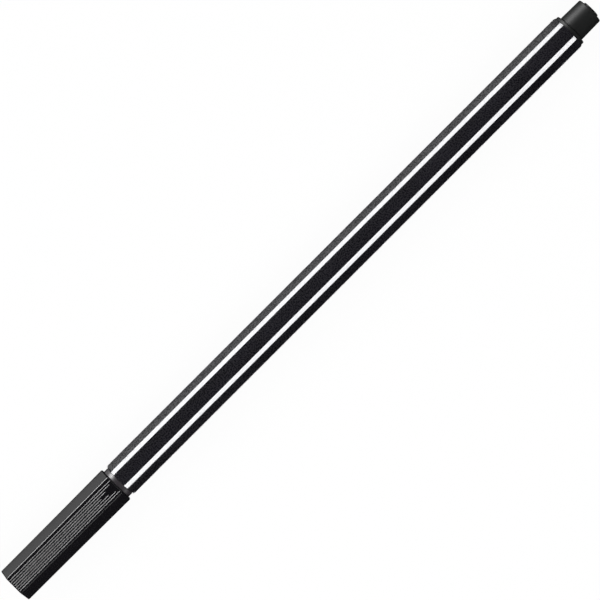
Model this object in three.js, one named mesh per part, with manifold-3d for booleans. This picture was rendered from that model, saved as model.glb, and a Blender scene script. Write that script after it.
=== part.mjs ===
// A capped felt-tip pen that lies on one of its flats, in millimetres. X runs along the pen from the closed
// end of its cap to its end plug, Z is up, and the origin is on the table below the middle of its length.
import * as THREE from "three";
import { mergeVertices } from "three/addons/utils/BufferGeometryUtils.js";
import Module from "manifold-3d";

const wasm = await Module();
wasm.setup();

// Barrel: a six-sided tube with rounded corners and a white stripe along each corner
const barrelLength = 130.2;
const barrelAcrossFlats = 7.5;
const barrelCornerRadius = 1.45;
const barrelWall = 0.8;
const frontBevelLength = 0.44;
const frontBevelDrop = 0.18;
const backBevelLength = 0.88;
const backBevelDrop = 0.15;
const stripeWidth = 1.03;
const stripeDepth = 0.5;

// Front section: it plugs into the barrel, shows as a collar, and carries the nib under the cap
const spigotLength = 11;
const spigotWall = 0.43;
const collarLength = 1.13;
const collarDrop = 0.2;
const collarEdgeRadius = 0.18;
const neckLength = 11.5;
const neckWall = 0.37;
const taperLength = 8.5;
const snoutLength = 4;
const snoutWall = 0.45;
const shoulderLength = 1.5;

// Nib: a fibre rod with a rounded cone at its writing end
const nibRadius = 0.8;
const nibReach = 2.3;
const nibConeLength = 1.2;
const nibTipRadius = 0.5;
const nibTailLength = 6;

// Ink reservoir: a fibre core in a thin film, with a breather tube in a groove along its top
const filmThickness = 0.08;
const breatherRadius = 0.42;
const breatherWall = 0.16;

// End plug: a cup inside the barrel, then a flange, a knob and a small boss outside it
const plugSpigotLength = 7;
const plugCupDepth = 4.5;
const flangeLength = 0.7;
const flangeDrop = 0.07;
const flangeEdgeRadius = 0.16;
const knobLength = 5.55;
const knobRadius = 3.04;
const knobTaper = 0.09;
const knobEdgeRadius = 0.25;
const bossLength = 0.41;
const bossRadius = 1.87;

// Cap: six-sided, with three grooved sides and three smooth ones, a little wider at its mouth
const capWall = 0.69;
const capFlare = 0.23;
const capFlarePower = 1.5;
const capCornerRadius = 0.5;
const capLeastCornerRadius = 0.1;
const capEndWall = 1.4;
const capEndFillet = 0.28;
const capMouthBevel = 0.3;
const capLeadIn = 0.2;
const nibRoom = 0.96;
const grooveCount = 7;
const grooveMargin = 0.13;
const grooveLand = 0.13;
const grooveDepth = 0.2;
const grooveRamp = 0.5;
const bareWedgeLength = 4.4;
const bareWedgeHalfWidth = 1.45;

// Inner seal: a soft cup at the closed end of the cap, whose lip grips the snout
const sealBase = 0.8;
const sealWall = 0.75;
const sealLipLength = 1.4;
const sealGripReach = 3.44;

// Clearances, on the radius
const pressGap = 0.03;
const capClearance = 0.06;
const sealClearance = 0.05;

// Radii, each from the piece that it fits
const barrelFlatRadius = barrelAcrossFlats / 2;
const barrelBoreRadius = barrelFlatRadius - barrelWall;
const spigotRadius = barrelBoreRadius - pressGap;
const hollowRadius = spigotRadius - spigotWall;
const filmRadius = hollowRadius - pressGap;
const filmInnerRadius = filmRadius - filmThickness;
const coreRadius = filmInnerRadius - pressGap;
const breatherGrooveRadius = breatherRadius + pressGap;
const collarRadius = barrelFlatRadius - collarDrop;
const neckRadius = hollowRadius + neckWall;
const nibBoreRadius = nibRadius + pressGap;
const snoutRadius = nibBoreRadius + snoutWall;
const flangeRadius = barrelFlatRadius - flangeDrop;
const capBoreRadius = neckRadius + capClearance;
const capEndAcrossFlats = 2 * (capBoreRadius + capWall);

// Places along the pen: the cap is as long as what it covers
const capLength =
  capEndWall + sealBase + nibRoom + nibReach + snoutLength + taperLength + neckLength;
const penLength = capLength + collarLength + barrelLength + flangeLength + knobLength + bossLength;
const capEndX = -penLength / 2;
const capMouthX = capEndX + capLength;
const barrelFrontX = capMouthX + collarLength;
const barrelBackX = barrelFrontX + barrelLength;
const knobFrontX = barrelBackX + flangeLength;
const knobBackX = knobFrontX + knobLength;
const neckFrontX = capMouthX - neckLength;
const taperFrontX = neckFrontX - taperLength;
const snoutFrontX = taperFrontX - snoutLength;
const hollowFrontX = neckFrontX + shoulderLength;
const nibBackX = hollowFrontX + nibTailLength;
const plugFrontX = barrelBackX - plugSpigotLength;
const reservoirBackX = plugFrontX + plugCupDepth;
const capFloorX = capEndX + capEndWall;
const sealFrontX = snoutFrontX + sealGripReach;

// A section has six sides, numbered from 0 with their corners, and side 1 faces up
const sides = 6;
const sideAngle = (2 * Math.PI) / sides;
const quarter = Math.PI / 2;

// How finely round shapes are stepped
const turnedSteps = 48;
const slimSteps = 24;
const tubeSteps = 12;
const edgeSteps = 3;
const cornerSteps = 3;
const stripeSteps = 4;
const besideStripeSteps = 2;
const grooveRoundSteps = 8;
const taperSteps = 6;
const flareSteps = 5;
const leastStep = 0.01;
const cutPast = 1;

const polar = (radius, angle) => new THREE.Vector2(radius * Math.cos(angle), radius * Math.sin(angle));
const evenly = (from, to, steps) =>
  Array.from({ length: steps + 1 }, (_, step) => from + ((to - from) * step) / steps);

// A solid of a closed geometry
function solidOf(geometry) {
  geometry.deleteAttribute("normal");
  geometry.deleteAttribute("uv");
  const merged = mergeVertices(geometry);
  return new wasm.Manifold(
    new wasm.Mesh({
      numProp: 3,
      vertProperties: merged.getAttribute("position").array,
      triVerts: new Uint32Array(merged.index.array),
    }),
  );
}

// The geometry of a solid
function geometryOf(solid) {
  const mesh = solid.getMesh();
  const geometry = new THREE.BufferGeometry();
  geometry.setAttribute("position", new THREE.BufferAttribute(mesh.vertProperties, 3));
  geometry.setIndex(new THREE.BufferAttribute(mesh.triVerts, 1));
  return geometry;
}

// A bar along X with the same section all the way: section points are (Y, Z)
function bar(outline, fromX, toX, holes = []) {
  const shape = new THREE.Shape(outline);
  shape.holes = holes.map((hole) => new THREE.Path(hole));
  const geometry = new THREE.ExtrudeGeometry(shape, { depth: toX - fromX, bevelEnabled: false });
  geometry.applyMatrix4(new THREE.Matrix4().set(0, 0, 1, 0, 1, 0, 0, 0, 0, 1, 0, 0, 0, 0, 0, 1));
  return geometry.translate(fromX, 0, 0);
}

// A body turned about X: profile points are [radius, x], with x rising along the outside
function turned(profile, steps = turnedSteps) {
  const points = profile.map(([radius, x]) => new THREE.Vector2(radius, x));
  const geometry = new THREE.LatheGeometry(points, steps);
  return geometry.applyMatrix4(new THREE.Matrix4().set(0, 1, 0, 0, 0, 0, 1, 0, 1, 0, 0, 0, 0, 0, 0, 1));
}

// Profile points of a rounded edge whose centre is at this radius and x, between two directions
function edgeArc(radius, x, edgeRadius, fromAngle, toAngle) {
  return evenly(fromAngle, toAngle, edgeSteps).map((angle) => [
    radius + edgeRadius * Math.cos(angle),
    x + edgeRadius * Math.sin(angle),
  ]);
}

// A closed tube between two radii
const tube = (outer, inner, fromX, toX, steps) =>
  turned([[outer, fromX], [outer, toX], [inner, toX], [inner, fromX], [outer, fromX]], steps);

function circle(radius) {
  return evenly(0, 2 * Math.PI, turnedSteps)
    .slice(1)
    .map((angle) => polar(radius, angle));
}

// Points round one rounded corner of a six-sided section, between two angles from the corner's middle
function cornerArc(corner, acrossFlats, cornerRadius, fromAngle, toAngle, steps, depth = 0) {
  const angle = corner * sideAngle;
  const centre = polar((acrossFlats / 2 - cornerRadius) / Math.cos(sideAngle / 2), angle);
  return evenly(fromAngle, toAngle, steps).map((turn) =>
    polar(cornerRadius - depth, angle + turn).add(centre),
  );
}

const barrelCorner = (corner, fromAngle, toAngle, steps, depth) =>
  cornerArc(corner, barrelAcrossFlats, barrelCornerRadius, fromAngle, toAngle, steps, depth);
const barrelReach =
  (barrelFlatRadius - barrelCornerRadius) / Math.cos(sideAngle / 2) + barrelCornerRadius;
const stripeAngle = stripeWidth / barrelCornerRadius / 2;

// The barrel's outline, with a channel for the stripe in each corner
function barrelOutline() {
  const outline = [];
  for (let corner = 0; corner < sides; corner += 1) {
    outline.push(...barrelCorner(corner, -sideAngle / 2, -stripeAngle, besideStripeSteps));
    outline.push(...barrelCorner(corner, -stripeAngle, stripeAngle, stripeSteps, stripeDepth));
    outline.push(...barrelCorner(corner, stripeAngle, sideAngle / 2, besideStripeSteps));
  }
  return outline;
}

function stripeOutline(corner) {
  const outside = barrelCorner(corner, -stripeAngle, stripeAngle, stripeSteps);
  const inside = barrelCorner(corner, -stripeAngle, stripeAngle, stripeSteps, stripeDepth);
  return [...outside, ...inside.reverse()];
}

// The round blank whose cones bevel the corners at both ends of the barrel
function bevelledBlank() {
  const frontRadius = barrelFlatRadius - frontBevelDrop;
  const backRadius = barrelFlatRadius - backBevelDrop;
  const blankRadius = barrelReach + cutPast;
  const frontSlope = frontBevelLength / (barrelReach - frontRadius);
  const backSlope = backBevelLength / (barrelReach - backRadius);
  return turned([
    [0, barrelFrontX],
    [frontRadius, barrelFrontX],
    [blankRadius, barrelFrontX + (blankRadius - frontRadius) * frontSlope],
    [blankRadius, barrelBackX - (blankRadius - backRadius) * backSlope],
    [backRadius, barrelBackX],
    [0, barrelBackX],
  ]);
}

const bevelled = (geometry) => geometryOf(solidOf(geometry).intersect(solidOf(bevelledBlank())));

const barrelTube = () =>
  bevelled(bar(barrelOutline(), barrelFrontX, barrelBackX, [circle(barrelBoreRadius)]));

const edgeStripe = (corner) => bevelled(bar(stripeOutline(corner), barrelFrontX, barrelBackX));

function frontSection() {
  const taper = evenly(0, 1, taperSteps).map((share) => [
    snoutRadius + (neckRadius - snoutRadius) * Math.sin(share * quarter),
    taperFrontX + taperLength * share,
  ]);
  const edge = collarRadius - collarEdgeRadius;
  return turned([
    [nibBoreRadius, snoutFrontX],
    [snoutRadius, snoutFrontX],
    ...taper,
    [neckRadius, capMouthX],
    ...edgeArc(edge, capMouthX + collarEdgeRadius, collarEdgeRadius, -quarter, 0),
    ...edgeArc(edge, barrelFrontX - collarEdgeRadius, collarEdgeRadius, 0, quarter),
    [spigotRadius, barrelFrontX],
    [spigotRadius, barrelFrontX + spigotLength],
    [hollowRadius, barrelFrontX + spigotLength],
    [hollowRadius, hollowFrontX],
    [nibBoreRadius, hollowFrontX],
    [nibBoreRadius, snoutFrontX],
  ]);
}

function nib() {
  const coneFrontX = snoutFrontX - nibReach + nibTipRadius;
  const tip = edgeArc(0, coneFrontX, nibTipRadius, -quarter, 0);
  const rod = [[nibRadius, coneFrontX + nibConeLength], [nibRadius, nibBackX], [0, nibBackX]];
  return turned([...tip, ...rod], slimSteps);
}

// The groove in the core takes the breather tube: it has a round bottom and opens at the top
const breatherZ = coreRadius - breatherGrooveRadius;

function reservoirCore() {
  const grooveEdge = Math.asin(breatherGrooveRadius / coreRadius);
  const round = evenly(quarter + grooveEdge, 5 * quarter - grooveEdge, turnedSteps);
  const bottom = evenly(0, -Math.PI, grooveRoundSteps).map((angle) =>
    polar(breatherGrooveRadius, angle).add(new THREE.Vector2(0, breatherZ)),
  );
  const outline = [...round.map((angle) => polar(coreRadius, angle)), ...bottom];
  const core = solidOf(bar(outline, hollowFrontX, reservoirBackX));
  const socketFrontX = hollowFrontX - cutPast;
  const socket = [[0, socketFrontX], [nibBoreRadius, socketFrontX], [nibBoreRadius, nibBackX], [0, nibBackX]];
  return geometryOf(core.subtract(solidOf(turned(socket, slimSteps))));
}

const reservoirFilm = () => tube(filmRadius, filmInnerRadius, hollowFrontX, reservoirBackX, turnedSteps);

function breatherTube() {
  const inner = breatherRadius - breatherWall;
  return tube(breatherRadius, inner, hollowFrontX, reservoirBackX, tubeSteps).translate(0, 0, breatherZ);
}

function endPlug() {
  const flangeEdge = flangeRadius - flangeEdgeRadius;
  const knobEdge = knobRadius - knobTaper - knobEdgeRadius;
  return turned([
    [0, reservoirBackX],
    [hollowRadius, reservoirBackX],
    [hollowRadius, plugFrontX],
    [spigotRadius, plugFrontX],
    [spigotRadius, barrelBackX],
    [flangeEdge, barrelBackX],
    ...edgeArc(flangeEdge, knobFrontX - flangeEdgeRadius, flangeEdgeRadius, 0, quarter),
    [knobRadius, knobFrontX],
    ...edgeArc(knobEdge, knobBackX - knobEdgeRadius, knobEdgeRadius, 0, quarter),
    [bossRadius, knobBackX],
    [bossRadius, knobBackX + bossLength],
    [0, knobBackX + bossLength],
  ]);
}

// How far the cap's outside is drawn in at x, by the fillet of its closed end or the bevel of its mouth
function capInset(x) {
  const fromEnd = Math.min(x - capEndX, capEndFillet);
  const fillet = capEndFillet - Math.sqrt(capEndFillet ** 2 - (capEndFillet - fromEnd) ** 2);
  return fillet + Math.max(0, capMouthBevel - (capMouthX - x));
}

// The grooves share the flat width of a side at the closed end, where it is narrowest
const grooveSpan = 2 * ((capEndAcrossFlats / 2 - capCornerRadius) * Math.tan(sideAngle / 2) - grooveMargin);
const grooveWidth = (grooveSpan - (grooveCount - 1) * grooveLand) / grooveCount;
const grooveMiddles = evenly(
  (grooveWidth - grooveSpan) / 2,
  (grooveSpan - grooveWidth) / 2,
  grooveCount - 1,
);

// Where the groove at this distance from the side's middle ends: a bare wedge at the mouth cuts it short
const grooveEndX = (middle) =>
  capMouthX - bareWedgeLength * (1 - Math.abs(middle) / bareWedgeHalfWidth);

function capAcrossFlats(x) {
  const along = (x - capEndX) / capLength;
  return capEndAcrossFlats + capFlare * along ** capFlarePower;
}

// The cap's outline at x: a rounded corner, then a side, which is grooved on every second one
function capOutline(x) {
  const inset = capInset(x);
  const acrossFlats = capAcrossFlats(x) - 2 * inset;
  const cornerRadius = Math.max(capCornerRadius - inset, capLeastCornerRadius);
  const outline = [];
  for (let side = 0; side < sides; side += 1) {
    outline.push(
      ...cornerArc(side, acrossFlats, cornerRadius, -sideAngle / 2, sideAngle / 2, cornerSteps),
    );
    if (side % 2 === 0) continue;
    const facing = (side + 0.5) * sideAngle;
    const at = (aside, depth) =>
      polar(acrossFlats / 2 - depth, facing).add(polar(aside, facing + quarter));
    for (const middle of grooveMiddles) {
      const sunk = grooveDepth * THREE.MathUtils.clamp((grooveEndX(middle) - x) / grooveRamp, 0, 1);
      outline.push(at(middle - grooveWidth / 2, 0));
      outline.push(at(middle, sunk));
      outline.push(at(middle + grooveWidth / 2, 0));
    }
  }
  return outline.map((point) => new THREE.Vector3(x, point.x, point.y));
}

// A closed skin over a row of outlines with the same number of points
function skin(outlines) {
  const count = outlines[0].length;
  const last = (outlines.length - 1) * count;
  const points = outlines.flat();
  const firstCentre = points.push(new THREE.Vector3(points[0].x, 0, 0)) - 1;
  const lastCentre = points.push(new THREE.Vector3(points[last].x, 0, 0)) - 1;
  const faces = [];
  for (let i = 0; i < count; i += 1) {
    const next = (i + 1) % count;
    faces.push(firstCentre, next, i);
    faces.push(lastCentre, last + i, last + next);
    for (let low = 0; low < last; low += count) {
      const high = low + count;
      faces.push(low + i, low + next, high + next);
      faces.push(low + i, high + next, high + i);
    }
  }
  return new THREE.BufferGeometry().setFromPoints(points).setIndex(faces);
}

// Places along the cap where its outside changes, in order and none twice
function capPlaces() {
  const turns = evenly(0, quarter, edgeSteps);
  const fillet = turns.map((angle) => capEndX + capEndFillet * (1 - Math.cos(angle)));
  const flare = evenly(capEndX + capEndFillet, capMouthX - capMouthBevel, flareSteps);
  const grooveEnds = grooveMiddles.map(grooveEndX).filter((x) => x < capMouthX);
  const ramps = grooveEnds.map((x) => x - grooveRamp);
  const inOrder = [...fillet, ...flare, ...grooveEnds, ...ramps, capMouthX].sort((a, b) => a - b);
  return inOrder.filter((x, i) => i === 0 || x - inOrder[i - 1] > leastStep);
}

function capShell() {
  const outside = solidOf(skin(capPlaces().map(capOutline)));
  const hollow = turned([
    [0, capFloorX],
    [capBoreRadius, capFloorX],
    [capBoreRadius, capMouthX - capLeadIn],
    [capBoreRadius + 2 * capLeadIn, capMouthX + capLeadIn],
    [0, capMouthX + capLeadIn],
  ]);
  return geometryOf(outside.subtract(solidOf(hollow)));
}

function capInnerSeal() {
  const outer = capBoreRadius - pressGap;
  const inner = outer - sealWall;
  const lip = snoutRadius + sealClearance;
  return turned([
    [0, capFloorX],
    [outer, capFloorX],
    [outer, sealFrontX],
    [lip, sealFrontX],
    [lip, sealFrontX - sealLipLength],
    [inner, sealFrontX - sealLipLength],
    [inner, capFloorX + sealBase],
    [0, capFloorX + sealBase],
  ]);
}

// The pen rests on the widest of its flats, which is at the cap's mouth unless the barrel is wider
const axisHeight = Math.max(barrelAcrossFlats, capAcrossFlats(capMouthX - capMouthBevel)) / 2;
const pen = new THREE.Group();
pen.position.z = axisHeight;

function add(name, geometry, color, roughness) {
  const material = new THREE.MeshStandardMaterial({ color, roughness, metalness: 0, flatShading: true });
  const mesh = new THREE.Mesh(geometry, material);
  mesh.name = name;
  pen.add(mesh);
}

add("barrel_tube", barrelTube(), 0x25252b, 0.42);
for (let corner = 0; corner < sides; corner += 1) {
  add(`edge_stripe_${corner + 1}`, edgeStripe(corner), 0xf4f4f6, 0.45);
}
add("front_section", frontSection(), 0x1b1a1e, 0.2);
add("nib", nib(), 0x121214, 0.9);
add("reservoir_core", reservoirCore(), 0x1d1c24, 0.95);
add("reservoir_film", reservoirFilm(), 0xd8dade, 0.25);
add("breather_tube", breatherTube(), 0xe6e6e2, 0.35);
add("end_plug", endPlug(), 0x202022, 0.38);
add("cap_shell", capShell(), 0x1e1e21, 0.36);
add("cap_inner_seal", capInnerSeal(), 0xdededa, 0.5);

export default pen;
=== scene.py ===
import math

import bmesh
import bpy
import numpy as np
from mathutils import Matrix, Vector


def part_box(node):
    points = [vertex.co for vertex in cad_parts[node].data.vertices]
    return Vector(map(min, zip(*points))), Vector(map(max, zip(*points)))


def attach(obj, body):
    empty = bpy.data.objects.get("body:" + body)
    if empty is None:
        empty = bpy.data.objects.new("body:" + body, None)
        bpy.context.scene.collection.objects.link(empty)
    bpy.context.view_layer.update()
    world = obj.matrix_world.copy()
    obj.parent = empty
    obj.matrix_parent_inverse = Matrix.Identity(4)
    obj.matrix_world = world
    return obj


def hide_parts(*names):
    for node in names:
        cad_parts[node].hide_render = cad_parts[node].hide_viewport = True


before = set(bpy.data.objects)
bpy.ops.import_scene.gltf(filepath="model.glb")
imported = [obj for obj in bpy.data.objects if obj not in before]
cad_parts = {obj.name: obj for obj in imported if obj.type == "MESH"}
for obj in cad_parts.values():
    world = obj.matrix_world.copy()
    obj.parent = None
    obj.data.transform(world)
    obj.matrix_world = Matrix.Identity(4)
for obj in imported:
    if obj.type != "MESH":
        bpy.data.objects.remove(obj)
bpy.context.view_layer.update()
print("frame loaded")

mm = 0.001
quarterTurn = math.pi / 2
sides = 6
sideAngle = 2 * math.pi / sides
mergeDistance = 0.0005 * mm
sharpAngle = math.radians(38)

# Where the pen's pieces lie, from the frame
capLow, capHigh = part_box("cap_shell")
barrelLow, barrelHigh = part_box("barrel_tube")
sectionLow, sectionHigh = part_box("front_section")
nibLow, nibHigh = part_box("nib")
plugLow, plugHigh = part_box("end_plug")
sealLow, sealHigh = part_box("cap_inner_seal")
axisHeight = (nibLow.z + nibHigh.z) / 2


# Node trees

class Wire:  # one socket of a node tree, with the arithmetic that the trees below use
    def __init__(self, maker, socket):
        self.maker = maker
        self.socket = socket

    def out(self, name):
        return Wire(self.maker, self.socket.node.outputs[name])

    def maths(self, operation, *others):
        return self.maker.maths(operation, self, *others)

    def __add__(self, other):
        return self.maths("ADD", other)

    def __radd__(self, other):
        return self.maker.maths("ADD", other, self)

    def __sub__(self, other):
        return self.maths("SUBTRACT", other)

    def __rsub__(self, other):
        return self.maker.maths("SUBTRACT", other, self)

    def __mul__(self, other):
        return self.maths("MULTIPLY", other)

    def __rmul__(self, other):
        return self.maker.maths("MULTIPLY", other, self)

    def __truediv__(self, other):
        return self.maths("DIVIDE", other)

    def __rtruediv__(self, other):
        return self.maker.maths("DIVIDE", other, self)

    def least(self, other):
        return self.maths("MINIMUM", other)

    def most(self, other):
        return self.maths("MAXIMUM", other)

    def within(self, low, high):
        return self.most(low).least(high)


class Maker:  # adds nodes to one tree
    spacing = 180  # between nodes in the editor

    def __init__(self, tree):
        self.tree = tree

    # settings first, then the sockets, by name or number
    def node(self, kind, settings=None, sockets=None, output=0):
        made = self.tree.nodes.new(kind)
        made.location.x = self.spacing * len(self.tree.nodes)
        for name, value in (settings or {}).items():
            setattr(made, name, value)
        for key, value in (sockets or {}).items():
            if isinstance(value, Wire):
                self.tree.links.new(value.socket, made.inputs[key])
            else:
                made.inputs[key].default_value = value
        return Wire(self, made.outputs[output]) if made.outputs else None

    def maths(self, operation, *values):
        return self.node("ShaderNodeMath", {"operation": operation}, dict(enumerate(values)))


# A new material with nothing in its tree yet
def newMaterial(name):
    material = bpy.data.materials.new(name)
    material.use_nodes = True
    material.node_tree.nodes.clear()
    return material, Maker(material.node_tree)


def newObject(name, data):
    made = bpy.data.objects.new(name, data)
    bpy.context.scene.collection.objects.link(made)
    return made


# A colour as it is seen on screen, 0 to 255, as the light it stands for
def seen(red, green, blue):
    def light(value):
        share = value / 255
        return share / 12.92 if share <= 0.04045 else ((share + 0.055) / 1.055) ** 2.4

    return (light(red), light(green), light(blue), 1)


# Studio: a white table, a soft box low on one side, and soft light from above that gloss doesn't show

shot = {
    "distance": 918 * mm,  # from the pen's axis
    "lens": 268.2,  # in mm, as the sensor
    "sensor": 36,
    "nearest": 0.01,
    "farthest": 50,
    "aimAlong": -0.84 * mm,
    "aimAcross": 0.07 * mm,
    "turn": math.radians(45.01),  # of the pen in the picture
    "roll": math.radians(2.5),  # how far the camera leans round the pen
}
lamps = {
    # name: (place along the pen, azimuth, elevation, distance, width, height, watts, what it lights)
    "keyBox": (0, 180, 27, 0.55, 0.42, 0.16, 7.8, "gloss"),
    "capBox": (-0.084, 0, 8, 0.2, 0.06, 0.04, 0.045, "gloss"),
    "keyFill": (0, 180, 40, 0.8, 0.4, 0.4, 2.6, "matte"),
    "topFill": (0, 0, 90, 0.8, 0.5, 0.5, 0.1, "matte"),
    "nearFill": (0, 0, 45, 0.8, 0.5, 0.5, 3.3, "matte"),
    "frontFill": (0, 270, 20, 0.8, 0.3, 0.3, 3.2, "matte"),
    "backFill": (0, 90, 35, 0.8, 0.3, 0.3, 0.8, "matte"),
}
table = {
    "halfWidth": 3.0,
    "whiteness": 0.92,
    "ownLight": 0.94,  # share of the table's white that no shadow takes away
    "sky": 0.25,  # light from all round
    "ceiling": 0.02,  # how bright gloss sees the ceiling
    "wallTop": 0.5,  # where the white walls end: the sine of that elevation
    "wallTilt": 0.25,  # how much higher they are on the key's side
    "wallFade": 2.5,  # how fast they give way to the ceiling
}
flag = {
    "near": 9.9 * mm,
    "far": -0.5,
    "halfLength": 1.5,
    "top": 0.02,
    "lift": 0.05 * mm,
    "plugFront": 77.3 * mm,  # beside the plug the card also covers the key's side
    "plugNear": 0.12,
    "plugTop": 0.058,
    "colour": 0.02,
}


def makeCamera():
    cosine, sine = math.cos(shot["turn"]), math.sin(shot["turn"])
    along = Vector((1, 0, 0))
    across = Vector((0, math.cos(shot["roll"]), math.sin(shot["roll"])))
    right = cosine * along - sine * across
    up = sine * along + cosine * across
    back = right.cross(up)
    aim = Vector((shot["aimAlong"], shot["aimAcross"], axisHeight))
    place = Matrix((right, up, back)).transposed().to_4x4()
    place.translation = aim + shot["distance"] * back
    camera = newObject("camera", bpy.data.cameras.new("camera"))
    camera.data.sensor_width = shot["sensor"]
    camera.data.lens = shot["lens"]
    camera.data.clip_start = shot["nearest"]
    camera.data.clip_end = shot["farthest"]
    camera.matrix_world = place
    bpy.context.scene.camera = camera


def makeLamps():
    for name, (along, azimuth, elevation, distance, width, height, watts, lights) in lamps.items():
        aim = Vector((along, 0, axisHeight))
        turn, rise = math.radians(azimuth), math.radians(elevation)
        back = Vector((math.sin(turn) * math.cos(rise), -math.cos(turn) * math.cos(rise), math.sin(rise)))
        light = bpy.data.lights.new(name, "AREA")
        light.shape = "RECTANGLE"
        light.size = width
        light.size_y = height
        light.energy = watts
        lamp = newObject(name, light)
        lamp.location = aim + distance * back
        lamp.rotation_mode = "QUATERNION"
        lamp.rotation_quaternion = back.to_track_quat("Z", "Y")
        lamp.visible_glossy = lights == "gloss"
        lamp.visible_diffuse = lights == "matte"


# A black card under the pen that only gloss shows: it keeps the low sides and the far side dark
def makeFlag():
    reach, near, far = flag["halfLength"], flag["near"], flag["far"]
    lift, top = flag["lift"], flag["top"]
    plugFront, plugNear, plugTop = flag["plugFront"], flag["plugNear"], flag["plugTop"]
    points = [
        (-reach, near, lift),
        (reach, near, lift),
        (-reach, far, lift),
        (reach, far, lift),
        (-reach, far, top),
        (reach, far, top),
        (plugFront, near, lift),
        (plugFront, plugNear, lift),
        (reach, plugNear, lift),
        (plugFront, plugNear, plugTop),
        (reach, plugNear, plugTop),
    ]
    card = bpy.data.meshes.new("flag")
    card.from_pydata(points, [], [(0, 6, 1, 3, 2), (2, 3, 5, 4), (6, 7, 8, 1), (7, 9, 10, 8)])
    standing = newObject("flag", card)
    standing.visible_camera = False
    standing.visible_diffuse = False
    standing.visible_transmission = False
    standing.visible_shadow = False
    material, maker = newMaterial("flagBlack")
    colour = flag["colour"]
    black = maker.node("ShaderNodeBsdfDiffuse", None, {"Color": (colour, colour, colour, 1)})
    maker.node("ShaderNodeOutputMaterial", None, {"Surface": black})
    card.materials.append(material)


# 1 for what the camera sees, itself or in gloss or through glass
def seenDirectly(maker):
    path = maker.node("ShaderNodeLightPath")
    direct = path.out("Is Camera Ray").most(path.out("Is Glossy Ray"))
    return direct.most(path.out("Is Transmission Ray"))


def makeTable():
    sheet = bpy.data.meshes.new("table")
    reach = table["halfWidth"]
    corners = [(-reach, -reach, 0), (reach, -reach, 0), (reach, reach, 0), (-reach, reach, 0)]
    sheet.from_pydata(corners, [], [(0, 1, 2, 3)])
    top = newObject("table", sheet)
    material, maker = newMaterial("tableWhite")
    white = table["whiteness"]
    lit = maker.node("ShaderNodeBsdfDiffuse", None, {"Color": (white, white, white, 1)})
    glow = maker.node("ShaderNodeEmission", None, {"Color": (1, 1, 1, 1), "Strength": 1.0})
    share = seenDirectly(maker) * table["ownLight"]
    surface = maker.node("ShaderNodeMixShader", None, {0: share, 1: lit, 2: glow})
    maker.node("ShaderNodeOutputMaterial", None, {"Surface": surface})
    sheet.materials.append(material)


# White walls that fade to a dim ceiling, and weaker light from all round for what isn't seen directly
def makeSky():
    world = bpy.data.worlds.new("sky")
    world.use_nodes = True
    world.node_tree.nodes.clear()
    maker = Maker(world.node_tree)
    direction = maker.node("ShaderNodeTexCoord", None, None, "Generated")
    parted = maker.node("ShaderNodeSeparateXYZ", None, {"Vector": direction})
    wallTop = table["wallTop"] + parted.out("Y") * table["wallTilt"]
    wall = ((wallTop - parted.out("Z")) * table["wallFade"]).within(0, 1)
    shown = table["ceiling"] + wall * (1 - table["ceiling"])
    direct = seenDirectly(maker)
    strength = direct * shown + (1 - direct) * table["sky"]
    sky = maker.node("ShaderNodeBackground", None, {"Color": (1, 1, 1, 1), "Strength": strength})
    maker.node("ShaderNodeOutputWorld", None, {"Surface": sky})
    bpy.context.scene.world = world


bpy.context.scene.view_settings.view_transform = "Standard"
makeCamera()
makeLamps()
makeFlag()
makeTable()
makeSky()
print("studio ready")


# Finishes

# A new material, and where its patterns lie: the pen's own coordinates, in metres
def newFinish(name):
    material, maker = newMaterial(name)
    return material, maker, maker.node("ShaderNodeTexCoord", None, None, "Object")


# Noise from 0 to 1 with its grain this size, and stretched along the pen by a factor
def noise(maker, place, size, stretch=1, detail=2):
    spread = (1 / stretch, 1, 1)
    drawn = maker.node("ShaderNodeVectorMath", {"operation": "MULTIPLY"}, {0: place, 1: spread})
    return maker.node("ShaderNodeTexNoise", None, {"Vector": drawn, "Scale": 1 / size, "Detail": detail})


# Sockets 6 and 7 of the mix node are its colours, and its output 2 is their mix
def blend(maker, low, high, share):
    return maker.node("ShaderNodeMix", {"data_type": "RGBA"}, {0: share, 6: low, 7: high}, 2)


def bump(maker, height, depth):
    return maker.node("ShaderNodeBump", None, {"Height": height, "Distance": depth, "Strength": 1.0})


# Plastic with a grain, lines drawn along the pen, faint clouding and a few fine rubbed streaks
def plastic(name, look):
    material, maker, place = newFinish(name)
    clouds = noise(maker, place, look["cloudSize"], look["cloudStretch"])
    grain = noise(maker, place, look["grainSize"], 1, 1)
    lines = noise(maker, place, look["lineSize"], look["lineStretch"], 1)
    rubbed = noise(maker, place, look["streakSize"], look["streakStretch"])
    streaks = ((rubbed - look["streakStart"]) * look["streakGain"]).within(0, 1)
    mottle = clouds + (grain - 0.5) * look["grainColour"]
    colour = blend(maker, look["dark"], look["light"], mottle)
    spread = (clouds - 0.5) * look["roughnessSpread"] + (grain - 0.5) * look["grainRoughness"]
    roughness = look["roughness"] + spread + streaks * look["streakRoughness"]
    height = grain * look["grainHeight"] + lines * look["lineHeight"] - streaks * look["streakDepth"]
    coated = look["coat"] > 0
    sockets = {
        "Base Color": colour,
        "Roughness": roughness,
        "Normal": bump(maker, height, look["relief"]),
        "Coat Weight": ((grain - look["coatStart"]) * look["coat"]).within(0, 1) if coated else 0.0,
        "Coat Roughness": look["coatRoughness"],
        "IOR": look["ior"],
        "Specular IOR Level": look["specular"],
    }
    surface = maker.node("ShaderNodeBsdfPrincipled", None, sockets)
    maker.node("ShaderNodeOutputMaterial", None, {"Surface": surface})
    return material


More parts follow.
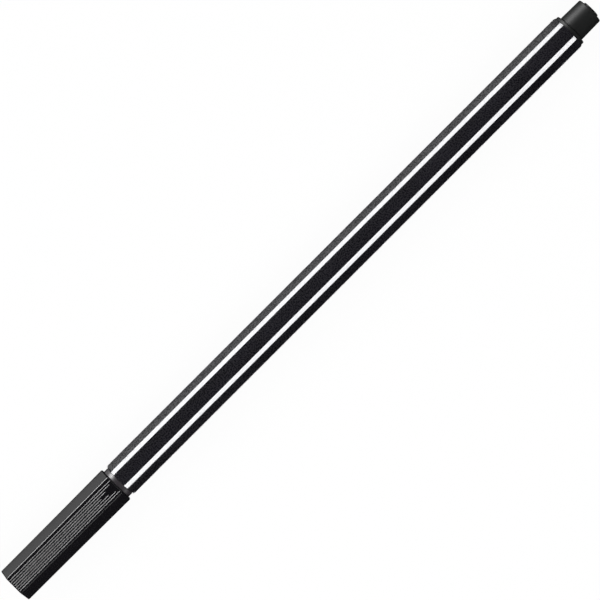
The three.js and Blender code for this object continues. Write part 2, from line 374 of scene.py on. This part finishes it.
# Bonded fibre: streaks of light and dark strands along the pen, rough all over
def fibre(name, look):
    material, maker, place = newFinish(name)
    strands = noise(maker, place, look["strandSize"], look["strandStretch"], 3)
    tufts = noise(maker, place, look["tuftSize"], look["tuftStretch"])
    mottle = strands * (1 - look["tuftColour"]) + tufts * look["tuftColour"]
    colour = blend(maker, look["dark"], look["light"], mottle)
    sockets = {
        "Base Color": colour,
        "Roughness": look["roughness"] + (strands - 0.5) * look["roughnessSpread"],
        "Normal": bump(maker, strands + tufts * look["tuftHeight"], look["relief"]),
    }
    surface = maker.node("ShaderNodeBsdfPrincipled", None, sockets)
    maker.node("ShaderNodeOutputMaterial", None, {"Surface": surface})
    return material


plainLook = {
    "dark": seen(20, 20, 23),
    "light": seen(28, 28, 31),
    "cloudSize": 4 * mm,
    "cloudStretch": 3,  # along the pen, as the others
    "grainSize": 0.12 * mm,
    "lineSize": 0.2 * mm,
    "lineStretch": 60,
    "streakSize": 0.5 * mm,
    "streakStretch": 14,
    "streakStart": 0.66,  # streaks lie where the noise is above this
    "streakGain": 9,
    "roughness": 0.4,
    "roughnessSpread": 0.06,
    "grainRoughness": 0.05,
    "streakRoughness": 0.08,
    "grainColour": 0.3,
    "grainHeight": 1.0,
    "lineHeight": 0.5,
    "streakDepth": 0.3,
    "relief": 0.003 * mm,
    "ior": 1.5,
    "specular": 0.5,
    "coat": 0.0,  # gloss on the grain's tops
    "coatStart": 0.4,
    "coatRoughness": 0.35,
}
barrelLook = dict(
    plainLook,
    dark=seen(8, 7, 11),
    light=seen(29, 28, 35),
    roughness=0.38,
    specular=0.12,
    coat=6.0,
    grainSize=0.3 * mm,
    grainColour=1.0,
    grainRoughness=0.2,
    lineHeight=0.1,
    streakDepth=0.04,
    relief=0.07 * mm,
)
stripeLook = dict(
    plainLook,
    dark=seen(240, 240, 243),
    light=seen(248, 248, 250),
    roughness=0.55,
    specular=0.2,
    grainRoughness=0.02,
    relief=0.002 * mm,
)
# Partly painted sheen: the section's own dark grey is raised all over, lighter than the other plastics, to
# stand in for the reflection on the collar's low side
sectionLook = dict(
    plainLook,
    dark=seen(43, 39, 43),
    light=seen(51, 47, 51),
    roughness=0.38,
    grainRoughness=0.01,
    lineHeight=0.0,
    relief=0.0006 * mm,
)
plugLook = dict(plainLook, dark=seen(20, 21, 21), light=seen(27, 28, 28), roughness=0.52, specular=0.24)
capLook = dict(
    plainLook,
    dark=seen(14, 13, 16),
    light=seen(20, 19, 22),
    roughness=0.18,
    specular=0.275,
    lineHeight=0.2,
    relief=0.0015 * mm,
)
sealLook = dict(
    plainLook,
    dark=seen(214, 214, 210),
    light=seen(228, 228, 225),
    roughness=0.5,
    lineHeight=0.0,
)
breatherLook = dict(plainLook, dark=seen(222, 222, 216), light=seen(236, 236, 232), roughness=0.35)
filmLook = dict(plainLook, dark=seen(206, 209, 214), light=seen(226, 229, 233), roughness=0.2)
nibLook = {
    "dark": seen(9, 9, 11),
    "light": seen(34, 33, 37),
    "strandSize": 0.07 * mm,
    "strandStretch": 12,
    "tuftSize": 0.5 * mm,
    "tuftStretch": 3,
    "tuftColour": 0.3,
    "tuftHeight": 0.5,
    "roughness": 0.85,
    "roughnessSpread": 0.2,
    "relief": 0.02 * mm,
}
reservoirLook = dict(nibLook, dark=seen(14, 13, 20), light=seen(52, 50, 64), strandSize=0.16 * mm)

barrelPlastic = plastic("barrelPlastic", barrelLook)
stripeWhite = plastic("stripeWhite", stripeLook)
sectionPlastic = plastic("sectionPlastic", sectionLook)
plugPlastic = plastic("plugPlastic", plugLook)
capPlastic = plastic("capPlastic", capLook)
sealPlastic = plastic("sealPlastic", sealLook)
breatherPlastic = plastic("breatherPlastic", breatherLook)
filmClear = plastic("filmClear", filmLook)
nibFibre = fibre("nibFibre", nibLook)
reservoirFibre = fibre("reservoirFibre", reservoirLook)
print("finishes ready")


# Shapes

# A mesh over rows of points: each row is a closed ring, and the rows can close on themselves too. A row's
# share of skin is kept as an attribute of its points.
def wrapped(name, rows, closed=False, skin=None):
    rows = np.asarray(rows, float)
    rowCount, pointCount = rows.shape[:2]
    points = rows.reshape(-1, 3)
    faces = []
    for row in range(rowCount if closed else rowCount - 1):
        after = (row + 1) % rowCount
        for point in range(pointCount):
            beside = (point + 1) % pointCount
            start, end = row * pointCount, after * pointCount
            faces.append((start + point, start + beside, end + beside, end + point))
    mesh = bpy.data.meshes.new(name)
    mesh.from_pydata(points.tolist(), [], faces)
    if skin is not None:
        mesh.attributes.new("skin", "FLOAT", "POINT").data.foreach_set("value", np.repeat(skin, pointCount))
    return tidied(mesh)


# Doubles merged and faces pointing outwards
def tidied(mesh):
    work = bmesh.new()
    work.from_mesh(mesh)
    bmesh.ops.remove_doubles(work, verts=work.verts, dist=mergeDistance)
    bmesh.ops.recalc_face_normals(work, faces=work.faces)
    if work.calc_volume(signed=True) < 0:
        bmesh.ops.reverse_faces(work, faces=work.faces)
    work.to_mesh(mesh)
    work.free()
    return mesh


# Points through corners (x, radius, fillet), with each corner rounded by its fillet
def rounded(corners, closed=False, steps=6):
    points = []
    count = len(corners)
    for index, (x, radius, fillet) in enumerate(corners):
        here = Vector((x, radius))
        if fillet == 0 or (not closed and index in (0, count - 1)):
            points.append(tuple(here))
            continue
        before = (Vector(corners[index - 1][:2]) - here).normalized()
        after = (Vector(corners[(index + 1) % count][:2]) - here).normalized()
        half = before.angle(after) / 2
        cut = fillet / math.tan(half)
        centre = here + (before + after).normalized() * fillet / math.sin(half)
        start, end = here + before * cut - centre, here + after * cut - centre
        swing = start.angle_signed(end)
        for step in range(steps + 1):
            turn = Matrix.Rotation(-swing * step / steps, 2)
            points.append(tuple(centre + turn @ start))
    return points


# A piece turned about the pen's axis from its outline
def turned(name, outline, closed=False, columns=96):
    angles = np.arange(columns) * 2 * math.pi / columns
    rows = [
        np.stack([np.full(columns, x), radius * np.cos(angles), axisHeight + radius * np.sin(angles)], 1)
        for x, radius in outline
    ]
    return wrapped(name, rows, closed)


# A finished piece: it rides on its body in place of its CAD nodes
def finished(name, mesh, material, body, slot, *nodes):
    if not mesh.materials:
        mesh.materials.append(material)
    mesh.shade_smooth()
    mesh.set_sharp_from_angle(angle=sharpAngle)
    piece = newObject(name, mesh)
    weighted = piece.modifiers.new("weightedNormals", "WEIGHTED_NORMAL")
    weighted.keep_sharp = True
    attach(piece, body)
    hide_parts(*nodes)


# A new geometry tree with its named inputs, and the wires from them
def newShape(name, inputs):
    tree = bpy.data.node_groups.new(name, "GeometryNodeTree")
    tree.interface.new_socket("Geometry", in_out="INPUT", socket_type="NodeSocketGeometry")
    tree.interface.new_socket("Geometry", in_out="OUTPUT", socket_type="NodeSocketGeometry")
    for label, kind in inputs.items():
        tree.interface.new_socket(label, in_out="INPUT", socket_type=kind)
    maker = Maker(tree)
    entry = maker.node("NodeGroupInput")
    return tree, maker, {label: entry.out(label) for label in ["Geometry", *inputs]}


# The end of every shape: plain geometry with its material
def endShape(maker, geometry, material):
    real = maker.node("GeometryNodeRealizeInstances", None, {"Geometry": geometry})
    coated = maker.node("GeometryNodeSetMaterial", None, {"Geometry": real, "Material": material})
    maker.node("NodeGroupOutput", None, {"Geometry": coated})


# A plain mesh, grown from a starting mesh by a tree with these values
def grown(name, start, tree, values):
    host = newObject(name + "Start", start)
    modifier = host.modifiers.new("shape", "NODES")
    modifier.node_group = tree
    for item in tree.interface.items_tree:
        if item.item_type == "SOCKET" and item.in_out == "INPUT" and item.name in values:
            modifier[item.identifier] = values[item.name]
    depsgraph = bpy.context.evaluated_depsgraph_get()
    mesh = bpy.data.meshes.new_from_object(host.evaluated_get(depsgraph))
    mesh.name = name
    host.modifiers.remove(modifier)
    bpy.data.objects.remove(host)
    return mesh


length = "NodeSocketFloat"

# Copies set evenly round the pen's axis, with their ends drawn in to a cone
def bevelShape():
    inputs = {
        "Copies": "NodeSocketInt",
        "Axis Height": length,
        "Front X": length,
        "Front Radius": length,
        "Front Slope": length,
        "Back X": length,
        "Back Radius": length,
        "Back Slope": length,
        "Material": "NodeSocketMaterial",
    }
    tree, maker, given = newShape("bevelledCopies", inputs)
    axis = maker.node("ShaderNodeCombineXYZ", None, {"Z": given["Axis Height"]})
    starts = {"Count": given["Copies"], "Start Location": axis, "Offset": (0, 0, 0)}
    places = maker.node("GeometryNodeMeshLine", None, starts)
    lowered = maker.node("ShaderNodeVectorMath", {"operation": "SCALE"}, {0: axis, "Scale": -1.0})
    shifted = {"Geometry": given["Geometry"], "Translation": lowered}
    centred = maker.node("GeometryNodeTransform", None, shifted)
    index = maker.node("GeometryNodeInputIndex")
    spin = maker.node("ShaderNodeCombineXYZ", None, {"X": index * (2 * math.pi) / given["Copies"]})
    turnedCopies = {"Points": places, "Instance": centred, "Rotation": spin}
    around = maker.node("GeometryNodeInstanceOnPoints", None, turnedCopies)
    copies = maker.node("GeometryNodeRealizeInstances", None, {"Geometry": around})
    parted = maker.node("ShaderNodeSeparateXYZ", None, {"Vector": maker.node("GeometryNodeInputPosition")})
    x, y, z = parted.out("X"), parted.out("Y"), parted.out("Z") - given["Axis Height"]
    radius = (y * y + z * z).maths("SQRT")
    front = given["Front Radius"] + (x - given["Front X"]) * given["Front Slope"]
    back = given["Back Radius"] + (given["Back X"] - x) * given["Back Slope"]
    share = (front.least(back) / radius).least(1.0)
    height = z * share + given["Axis Height"]
    drawn = maker.node("ShaderNodeCombineXYZ", None, {"X": x, "Y": y * share, "Z": height})
    bevelled = maker.node("GeometryNodeSetPosition", None, {"Geometry": copies, "Position": drawn})
    endShape(maker, bevelled, given["Material"])
    return tree


# Grooves along every second side, cut short by a bare wedge at the mouth
def grooveShape():
    inputs = {
        "Axis Height": length,
        "Grooves": length,
        "Pitch": length,
        "Width": length,
        "Depth": length,
        "Wall": length,
        "Softness": length,
        "Mouth X": length,
        "Wedge Length": length,
        "Wedge Half Width": length,
        "Ramp": length,
        "Material": "NodeSocketMaterial",
    }
    tree, maker, given = newShape("groovedSides", inputs)
    parted = maker.node("ShaderNodeSeparateXYZ", None, {"Vector": maker.node("GeometryNodeInputPosition")})
    x, y, z = parted.out("X"), parted.out("Y"), parted.out("Z") - given["Axis Height"]
    angle = z.maths("ARCTAN2", y)
    third = 2 * sideAngle
    facing = ((angle - quarterTurn) / third).maths("ROUND") * third + quarterTurn
    outY, outZ = facing.maths("COSINE"), facing.maths("SINE")
    aside = z * outY - y * outZ
    pitch, width, depth = given["Pitch"], given["Width"], given["Depth"]
    half = (given["Grooves"] - 1) / 2
    steps = aside / pitch + half
    number = steps.maths("ROUND").within(0.0, given["Grooves"] - 1)
    middle = (number - half) * pitch
    off = (aside - middle).maths("ABSOLUTE")
    wall = depth * (width / 2 - off) / given["Wall"]
    soft = given["Softness"]
    vee = wall.maths("SMOOTH_MAX", 0.0, soft).maths("SMOOTH_MIN", depth, soft)
    wedge = 1 - middle.maths("ABSOLUTE") / given["Wedge Half Width"]
    reach = given["Mouth X"] - given["Wedge Length"] * wedge - x
    full = (reach / given["Ramp"]).within(0.0, 1.0)
    skin = maker.node("GeometryNodeInputNamedAttribute", {"data_type": "FLOAT"}, {"Name": "skin"})
    sunk = vee * full * skin * -1.0
    drop = maker.node("ShaderNodeCombineXYZ", None, {"Y": outY * sunk, "Z": outZ * sunk})
    cut = maker.node("GeometryNodeSetPosition", None, {"Geometry": given["Geometry"], "Offset": drop})
    endShape(maker, cut, given["Material"])
    return tree


# Barrel and stripes

barrel = {
    "wall": 0.8 * mm,
    "crown": 32 * mm,  # radius of the slight bulge of each side
    "frontBevelLength": 0.44 * mm,
    "frontBevelDrop": 0.18 * mm,  # how far below the flats the bevel ends
    "backBevelLength": 0.5 * mm,
    "backBevelDrop": -0.1 * mm,  # above them, as it is negative
    "stripeWidth": 0.98 * mm,
    "stripeDepth": 0.5 * mm,
    "stripeInset": 0.1 * mm,  # how far the stripes stop short of the barrel's back
    "stripeBevelDrop": -0.12 * mm,  # the same for a stripe's front end, which is cut less
    "joint": 0.006 * mm,  # hairline on each side of a stripe
    "facetSteps": 10,
    "cornerSteps": 4,
    "stripeSteps": 10,
    "frontSteps": 9,
    "middleSteps": 11,
    "backSteps": 11,
}
flatRadius = axisHeight - barrelLow.z
cornerReach = (barrelHigh.y - barrelLow.y) / 2

# Each side bulges a little and runs smoothly into its corners, whose reach stays
crownRise = barrel["crown"] - flatRadius
crownReach = barrel["crown"] - cornerReach
cornerOut = (crownReach**2 - crownRise**2) / (crownRise * math.cos(sideAngle / 2) - crownReach) / 2
barrelCorner = cornerReach - cornerOut
sideBulge = math.atan2(cornerOut * math.sin(sideAngle / 2), cornerOut * math.cos(sideAngle / 2) + crownRise)
cornerTurn = sideAngle / 2 - sideBulge
stripeAngle = barrel["stripeWidth"] / barrelCorner / 2


# Points round one corner of the barrel, in (y, z), between two angles from the corner's middle
def cornerPoints(corner, fromAngle, toAngle, steps, depth=0.0):
    middle = corner * sideAngle
    centre = cornerOut * np.array([math.cos(middle), math.sin(middle)])
    turns = middle + np.linspace(fromAngle, toAngle, steps + 1)
    return centre + (barrelCorner - depth) * np.stack([np.cos(turns), np.sin(turns)], 1)


# Points across the bulging side before a corner, without its ends
def sidePoints(corner):
    facing = (corner - 0.5) * sideAngle
    centre = -crownRise * np.array([math.cos(facing), math.sin(facing)])
    turns = facing + np.linspace(-sideBulge, sideBulge, barrel["facetSteps"] + 1)[1:-1]
    return centre + barrel["crown"] * np.stack([np.cos(turns), np.sin(turns)], 1)


def barrelSection():
    hairline = barrel["joint"] / barrelCorner
    channel = stripeAngle + hairline
    points = []
    for corner in range(sides):
        first = cornerPoints(corner, -cornerTurn, -channel, barrel["cornerSteps"])
        floor = cornerPoints(corner, -channel, channel, barrel["stripeSteps"], barrel["stripeDepth"])
        last = cornerPoints(corner, channel, cornerTurn, barrel["cornerSteps"])
        points.extend([*sidePoints(corner), *first, *floor, *last])
    return np.array(points)


def stripeSection():
    outside = cornerPoints(0, -stripeAngle, stripeAngle, barrel["stripeSteps"])
    inside = cornerPoints(0, stripeAngle, -stripeAngle, barrel["stripeSteps"], barrel["stripeDepth"])
    return np.array([*outside, *inside])


# Places along the barrel, close together at its bevels
def barrelPlaces():
    front = np.linspace(0, barrel["frontBevelLength"], barrel["frontSteps"] + 1)
    back = np.linspace(barrel["backBevelLength"], 0, barrel["backSteps"] + 1)
    middleLow, middleHigh = barrelLow.x + 2 * front[-1], barrelHigh.x - 2 * back[0]
    middle = np.linspace(middleLow, middleHigh, barrel["middleSteps"] + 1)
    return np.concatenate([barrelLow.x + front, middle, barrelHigh.x - back])


def ring(x, section):
    return np.stack([np.full(len(section), x), section[:, 0], axisHeight + section[:, 1]], 1)


def barrelMesh():
    section = barrelSection()
    bore = (flatRadius - barrel["wall"]) * section / np.linalg.norm(section, axis=1)[:, None]
    rows = [ring(x, section) for x in barrelPlaces()]
    rows += [ring(barrelHigh.x, bore), ring(barrelLow.x, bore)]
    return wrapped("barrelStart", rows, closed=True)


def stripeMesh():
    section = stripeSection()
    shortened = 1 - barrel["stripeInset"] / (barrelHigh.x - barrelLow.x)
    places = barrelLow.x + (barrelPlaces() - barrelLow.x) * shortened
    rows = [ring(x, section) for x in places]
    middle = np.repeat(section.mean(0)[None], len(section), 0)
    rows = [ring(places[0], middle), *rows, ring(places[-1], middle)]
    return wrapped("stripeStart", rows)


bevels = bevelShape()
frontRadius = flatRadius - barrel["frontBevelDrop"]
backRadius = flatRadius - barrel["backBevelDrop"]
bevelValues = {
    "Copies": 1,
    "Axis Height": axisHeight,
    "Front X": barrelLow.x,
    "Front Radius": frontRadius,
    "Front Slope": (cornerReach - frontRadius) / barrel["frontBevelLength"],
    "Back X": barrelHigh.x,
    "Back Radius": backRadius,
    "Back Slope": (cornerReach - backRadius) / barrel["backBevelLength"],
    "Material": barrelPlastic,
}
barrelGrown = grown("barrel", barrelMesh(), bevels, bevelValues)
finished("barrel", barrelGrown, barrelPlastic, "pen_body", "barrel_plastic", "barrel_tube")
stripeNodes = [f"edge_stripe_{number + 1}" for number in range(sides)]
stripeFrontRadius = flatRadius - barrel["stripeBevelDrop"]
stripeValues = dict(bevelValues, Copies=sides, Material=stripeWhite)
stripeValues["Front Radius"] = stripeFrontRadius
stripeValues["Front Slope"] = (cornerReach - stripeFrontRadius) / barrel["frontBevelLength"]
stripesGrown = grown("edgeStripes", stripeMesh(), bevels, stripeValues)
finished("edgeStripes", stripesGrown, stripeWhite, "pen_body", "stripe_white", *stripeNodes)
print("barrel and stripes made")


# Front section

section = {
    "spigotWall": 0.43 * mm,
    "pressGap": 0.03 * mm,
    "collarDrop": 0.15 * mm,
    "collarEdge": 0.18 * mm,
    "neckLength": 11.5 * mm,
    "neckWall": 0.37 * mm,
    "taperLength": 8.5 * mm,
    "snoutWall": 0.45 * mm,
    "shoulderLength": 1.5 * mm,
    "edge": 0.06 * mm,
    "taperSteps": 18,
}
nibRadius = (nibHigh.z - nibLow.z) / 2
boreRadius = flatRadius - barrel["wall"]
spigotRadius = boreRadius - section["pressGap"]
hollowRadius = spigotRadius - section["spigotWall"]
neckRadius = hollowRadius + section["neckWall"]
collarRadius = flatRadius - section["collarDrop"]
nibBore = nibRadius + section["pressGap"]
snoutRadius = nibBore + section["snoutWall"]
mouthX = capHigh.x
neckFrontX = mouthX - section["neckLength"]
taperFrontX = neckFrontX - section["taperLength"]
hollowFrontX = neckFrontX + section["shoulderLength"]


def sectionMesh():
    edge = section["edge"]
    taper = []
    for share in np.linspace(0, 1, section["taperSteps"] + 1):
        radius = snoutRadius + (neckRadius - snoutRadius) * math.sin(share * quarterTurn)
        taper.append((taperFrontX + section["taperLength"] * share, radius, 0))
    outline = [
        (sectionLow.x, nibBore, edge),
        (sectionLow.x, snoutRadius, 2 * edge),
        *taper,
        (mouthX, neckRadius, 0),
        (mouthX, collarRadius, section["collarEdge"]),
        (barrelLow.x, collarRadius, section["collarEdge"]),
        (barrelLow.x, spigotRadius, 0),
        (sectionHigh.x, spigotRadius, 2 * edge),
        (sectionHigh.x, hollowRadius, edge),
        (hollowFrontX, hollowRadius, 0),
        (hollowFrontX, nibBore, 0),
    ]
    return turned("frontSection", rounded(outline, closed=True), closed=True)


finished("frontSection", sectionMesh(), sectionPlastic, "pen_body", "section_plastic", "front_section")


# Nib

nib = {
    "coneLength": 1.2 * mm,
    "tipRadius": 0.5 * mm,
    "tipFillet": 0.49 * mm,
    "shoulder": 0.5 * mm,
    "edge": 0.08 * mm,
    "roundSteps": 8,
    "columns": 48,
}


def nibMesh():
    coneBackX = nibLow.x + nib["tipRadius"] + nib["coneLength"]
    outline = [
        (nibLow.x, 0, 0),
        (nibLow.x, nib["tipRadius"], nib["tipFillet"]),
        (coneBackX, nibRadius, nib["shoulder"]),
        (nibHigh.x, nibRadius, nib["edge"]),
        (nibHigh.x, 0, 0),
    ]
    return turned("nib", rounded(outline, steps=nib["roundSteps"]), columns=nib["columns"])


finished("nibLook", nibMesh(), nibFibre, "pen_body", "nib_fibre", "nib")
print("front section and nib made")


# End plug

plug = {
    "cupDepth": 4.5 * mm,
    "flangeLength": 0.7 * mm,
    "flangeDrop": 0.02 * mm,
    "flangeEdge": 0.16 * mm,
    "knobRadius": 3.07 * mm,
    "knobTaper": 0.09 * mm,
    "knobEdge": 0.25 * mm,
    "bossLength": 0.41 * mm,
    "bossRadius": 1.87 * mm,
    "seamPlace": 0.05 * mm,
    "seamWidth": 0.16 * mm,
    "seamDepth": 0.1 * mm,
    "seamSlope": 0.048 * mm,
    "cupFillet": 0.28 * mm,
    "spigotEdge": 0.14 * mm,
    "edge": 0.07 * mm,
    "fineEdge": 0.028 * mm,
    "bossEdge": 0.105 * mm,
    "columns": 128,
}


def plugMesh():
    edge, fineEdge, seamSlope = plug["edge"], plug["fineEdge"], plug["seamSlope"]
    knobFrontX = barrelHigh.x + plug["flangeLength"]
    knobBackX = plugHigh.x - plug["bossLength"]
    flangeRadius = flatRadius - plug["flangeDrop"]
    endRadius = plug["knobRadius"] - plug["knobTaper"]
    seamFrontX = knobFrontX + plug["seamPlace"]
    seamBackX = seamFrontX + plug["seamWidth"]
    seamRadius = plug["knobRadius"] - plug["seamDepth"]
    outline = [
        (plugLow.x + plug["cupDepth"], 0, 0),
        (plugLow.x + plug["cupDepth"], hollowRadius, plug["cupFillet"]),
        (plugLow.x, hollowRadius, edge),
        (plugLow.x, spigotRadius, plug["spigotEdge"]),
        (barrelHigh.x, spigotRadius, 0),
        (barrelHigh.x, flangeRadius, fineEdge),
        (knobFrontX, flangeRadius, plug["flangeEdge"]),
        (knobFrontX, plug["knobRadius"], 0),
        (seamFrontX, plug["knobRadius"], fineEdge),
        (seamFrontX + seamSlope, seamRadius, 0),
        (seamBackX - seamSlope, seamRadius, 0),
        (seamBackX, plug["knobRadius"], fineEdge),
        (knobBackX, endRadius, plug["knobEdge"]),
        (knobBackX, plug["bossRadius"], edge),
        (plugHigh.x, plug["bossRadius"], plug["bossEdge"]),
        (plugHigh.x, 0, 0),
    ]
    return turned("endPlug", rounded(outline), columns=plug["columns"])


finished("endPlug", plugMesh(), plugPlastic, "pen_body", "plug_plastic", "end_plug")
print("end plug made")


# Cap

cap = {
    "wall": 0.69 * mm,
    "clearance": 0.06 * mm,
    "flare": 0.23 * mm,
    "flarePower": 1.5,
    "cornerRadius": 0.6 * mm,
    "leastCorner": 0.1 * mm,
    "endWall": 1.4 * mm,
    "endFillet": 0.28 * mm,
    "mouthBevel": 0.22 * mm,
    "leadIn": 0.2 * mm,
    "mouthEdge": 0.02 * mm,
    "floorFillet": 0.1 * mm,
    "floorBend": 0.03 * mm,
    "grooves": 7,
    "margin": 0.05 * mm,  # between the outer grooves and the rounded corners
    "land": 0.06 * mm,  # between two grooves
    "depth": 0.078 * mm,
    "slope": 0.11 * mm,  # width of each wall of a groove
    "softness": 0.01 * mm,
    "ramp": 0.35 * mm,  # over which a groove runs out at the wedge
    "wedgeLength": 3.9 * mm,
    "wedgeHalfWidth": 1.2 * mm,
    "grooveSteps": 16,
    "grooveReach": 0.995,  # share of a side that the grooves' points may cover
    "flatSteps": 8,
    "cornerSteps": 8,
    "filletSteps": 7,
    "plainSteps": 21,
    "wedgeSteps": 55,
    "bevelSteps": 4,
    "floorShares": (0.0, 0.6),  # of the bore, where the floor has rings of points
    "endShares": (0.9, 0.6, 0.0),  # the same for the closed end
}
capBore = neckRadius + cap["clearance"]
capEndFlats = 2 * (capBore + cap["wall"])
grooveSpan = 2 * ((capEndFlats / 2 - cap["cornerRadius"]) * math.tan(sideAngle / 2) - cap["margin"])
grooveWidth = (grooveSpan - (cap["grooves"] - 1) * cap["land"]) / cap["grooves"]
groovePitch = grooveWidth + cap["land"]


# How far the fillet at the closed end and the bevel at the mouth draw the outline in
def capInset(x):
    fromEnd = min(x - capLow.x, cap["endFillet"])
    across = math.sqrt(max(0.0, cap["endFillet"] ** 2 - (cap["endFillet"] - fromEnd) ** 2))
    return cap["endFillet"] - across + max(0.0, cap["mouthBevel"] - (capHigh.x - x))


# The cap's plain outline at x, in (y, z), with points close together where grooves go
def capSection(x):
    inset = capInset(x)
    along = (x - capLow.x) / (capHigh.x - capLow.x)
    flat = (capEndFlats + cap["flare"] * max(0.0, along) ** cap["flarePower"]) / 2 - inset
    corner = max(cap["cornerRadius"] - inset, cap["leastCorner"])
    halfSide = (flat - corner) * math.tan(sideAngle / 2)
    fine = np.arange(cap["grooves"] * cap["grooveSteps"] + 1) / cap["grooveSteps"] - cap["grooves"] / 2
    points = []
    for side in range(sides):
        middle = side * sideAngle
        out = (flat - corner) / math.cos(sideAngle / 2)
        centre = np.array([out * math.cos(middle), out * math.sin(middle)])
        turns = middle + np.linspace(-sideAngle / 2, sideAngle / 2, cap["cornerSteps"] + 1)
        points.extend(centre + corner * np.stack([np.cos(turns), np.sin(turns)], 1))
        facing = middle + sideAngle / 2
        outward = np.array([math.cos(facing), math.sin(facing)])
        onward = np.array([-outward[1], outward[0]])
        if side % 2:
            reach = fine[-1] * groovePitch
            asides = fine * groovePitch * min(1.0, cap["grooveReach"] * halfSide / reach)
        else:
            asides = np.linspace(-halfSide, halfSide, cap["flatSteps"] + 1)[1:-1]
        points.extend(flat * outward + asides[:, None] * onward)
    return np.array(points)


def capPlaces():
    turns = np.linspace(0, quarterTurn, cap["filletSteps"] + 1)
    fillet = capLow.x + cap["endFillet"] * (1 - np.cos(turns))
    wedgeX = capHigh.x - cap["wedgeLength"] - 2 * cap["ramp"]
    bevelX = capHigh.x - cap["mouthBevel"]
    plain = np.linspace(fillet[-1], wedgeX, cap["plainSteps"] + 1)[1:-1]
    fine = np.linspace(wedgeX, bevelX, cap["wedgeSteps"] + 1)
    mouth = np.linspace(bevelX, capHigh.x, cap["bevelSteps"] + 1)[1:]
    return np.concatenate([fillet, plain, fine, mouth])


def capMesh():
    places = capPlaces()
    mouthSection = capSection(places[-1])
    unit = mouthSection / np.linalg.norm(mouthSection, axis=1)[:, None]
    floorX = capLow.x + cap["endWall"]
    fillet, bend = cap["floorFillet"], cap["floorBend"]
    leadIn, mouthEdge = cap["leadIn"], cap["mouthEdge"]
    bore = [
        *[(floorX, share * capBore) for share in cap["floorShares"]],
        (floorX, capBore - fillet),
        (floorX + bend, capBore - bend),
        (floorX + fillet, capBore),
        (capHigh.x - leadIn, capBore),
        (capHigh.x - mouthEdge, capBore + leadIn - mouthEdge),
        (capHigh.x, capBore + leadIn + mouthEdge),
    ]
    inside = [ring(x, radius * unit) for x, radius in bore]
    outside = [ring(x, capSection(x)) for x in reversed(places)]
    endSection = capSection(places[0])
    end = [ring(capLow.x, share * endSection) for share in cap["endShares"]]
    rows = inside + outside + end
    skin = [0.0] * len(inside) + [1.0] * len(outside) + [0.0] * len(end)
    return wrapped("capStart", rows, skin=skin)


grooveValues = {
    "Axis Height": axisHeight,
    "Grooves": float(cap["grooves"]),
    "Pitch": groovePitch,
    "Width": grooveWidth,
    "Depth": cap["depth"],
    "Wall": cap["slope"],
    "Softness": cap["softness"],
    "Mouth X": mouthX,
    "Wedge Length": cap["wedgeLength"],
    "Wedge Half Width": cap["wedgeHalfWidth"],
    "Ramp": cap["ramp"],
    "Material": capPlastic,
}
capGrown = grown("cap", capMesh(), grooveShape(), grooveValues)
finished("cap", capGrown, capPlastic, "cap", "cap_plastic", "cap_shell")
print("cap made")


# Inner seal

seal = {
    "gap": 0.03 * mm,
    "wall": 0.75 * mm,
    "base": 0.8 * mm,
    "lipLength": 1.4 * mm,
    "clearance": 0.05 * mm,
    "edge": 0.1 * mm,
}


def sealMesh():
    edge = seal["edge"]
    outer = capBore - seal["gap"]
    inner = outer - seal["wall"]
    lip = snoutRadius + seal["clearance"]
    outline = [
        (sealLow.x, 0, 0),
        (sealLow.x, outer, edge),
        (sealHigh.x, outer, edge),
        (sealHigh.x, lip, 2 * edge),
        (sealHigh.x - seal["lipLength"], lip, edge),
        (sealHigh.x - seal["lipLength"], inner, edge),
        (sealLow.x + seal["base"], inner, edge),
        (sealLow.x + seal["base"], 0, 0),
    ]
    return turned("innerSeal", rounded(outline))


finished("innerSeal", sealMesh(), sealPlastic, "cap", "seal_plastic", "cap_inner_seal")
print("inner seal made")


# The pieces inside keep their CAD shapes
insideFinishes = {
    "reservoir_core": reservoirFibre,
    "reservoir_film": filmClear,
    "breather_tube": breatherPlastic,
}
for node, material in insideFinishes.items():
    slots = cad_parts[node].data.materials
    slots.clear()
    slots.append(material)
print("inside pieces finished")
